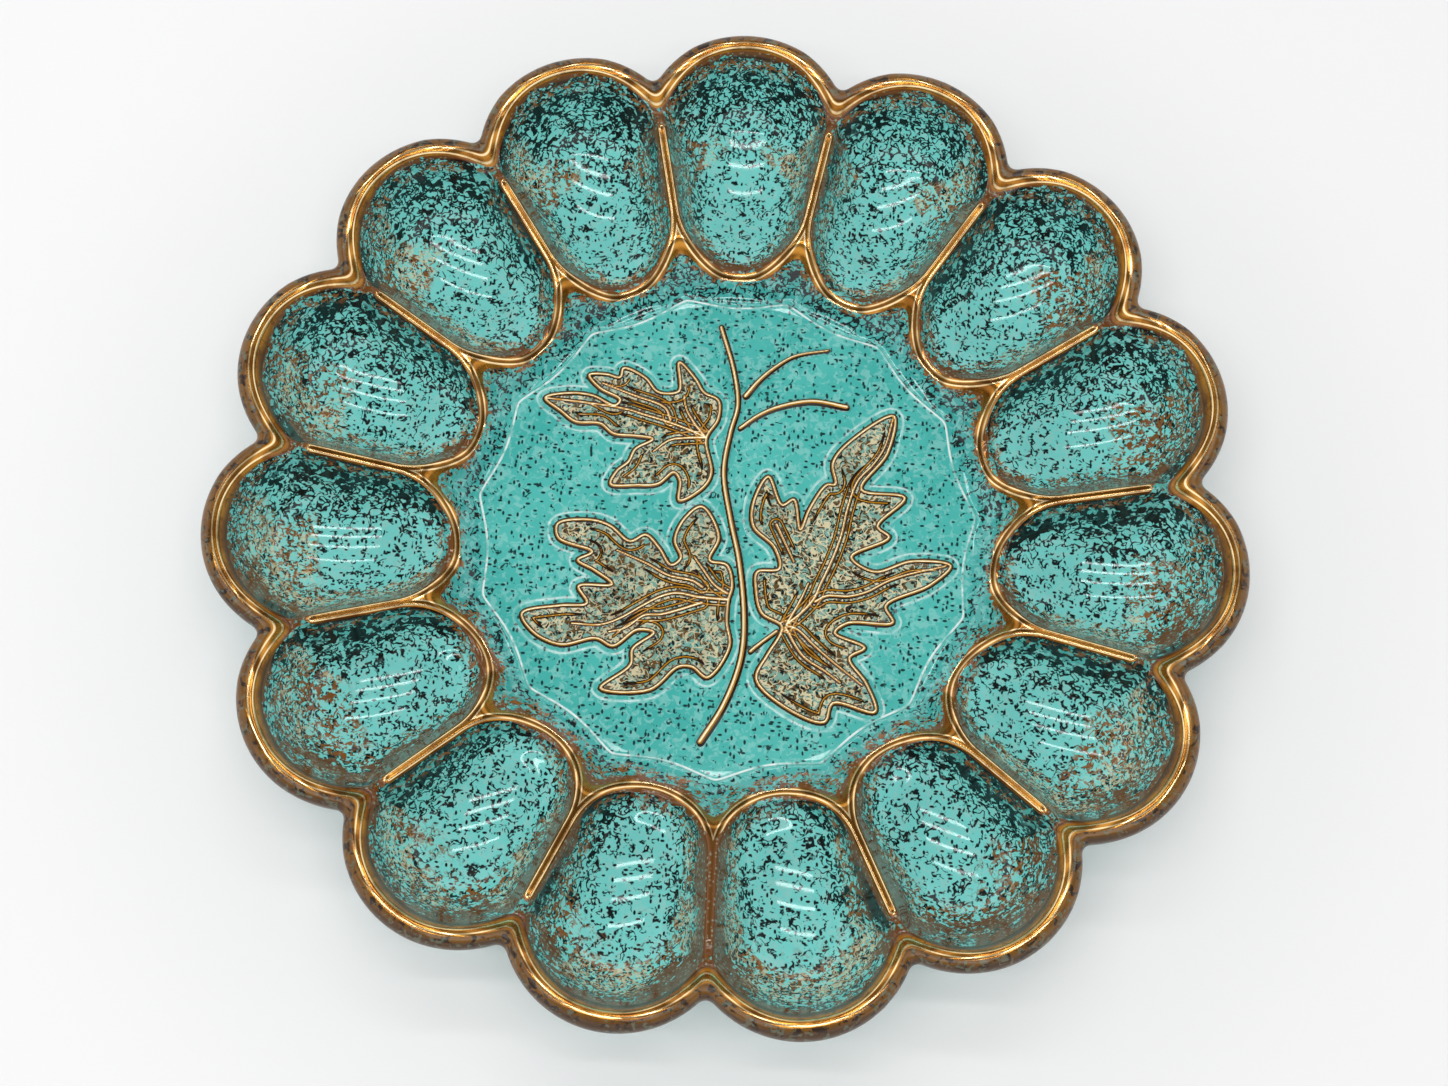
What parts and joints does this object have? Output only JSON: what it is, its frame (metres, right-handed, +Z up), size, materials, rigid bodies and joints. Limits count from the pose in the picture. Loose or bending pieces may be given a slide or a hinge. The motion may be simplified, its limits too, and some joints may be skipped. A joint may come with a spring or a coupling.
{
  "type": "egg serving tray",
  "caption": "Round scalloped ceramic egg tray: a ring of egg cups with ridges and a rolled rim around a shallow dish with a maple sprig in relief, in speckled turquoise and bronze glaze.",
  "frame": {"origin": "on the table plane, on the tray's axis", "axes": "+Z up along the tray's axis, +Y along the first egg cup, +X to the right of it seen from above"},
  "size_m": [0.3224, 0.3212, 0.042],
  "materials": {
    "turquoise_glaze": "glossy, speckled",
    "bronze_glaze": "glossy bronze",
    "leaf_glaze": "glossy, speckled",
    "bare_clay": "unglazed"
  },
  "bodies": {
    "root": {"rim_band": "bronze_glaze", "centre_dish": "turquoise_glaze", "foot_ring": "bare_clay", "egg_cup_01": "turquoise_glaze", "egg_cup_02": "turquoise_glaze", "egg_cup_03": "turquoise_glaze", "egg_cup_04": "turquoise_glaze", "egg_cup_05": "turquoise_glaze", "egg_cup_06": "turquoise_glaze", "egg_cup_07": "turquoise_glaze", "egg_cup_08": "turquoise_glaze", "egg_cup_09": "turquoise_glaze", "egg_cup_10": "turquoise_glaze", "egg_cup_11": "turquoise_glaze", "egg_cup_12": "turquoise_glaze", "egg_cup_13": "turquoise_glaze", "egg_cup_14": "turquoise_glaze", "egg_cup_15": "turquoise_glaze", "leaf_upper_left": "leaf_glaze", "leaf_lower_left": "leaf_glaze", "leaf_right": "leaf_glaze", "sprig_stem": "bronze_glaze", "twig_upper": "bronze_glaze", "twig_lower": "bronze_glaze", "leaf_stalk": "bronze_glaze"}
  },
  "joints": []
}
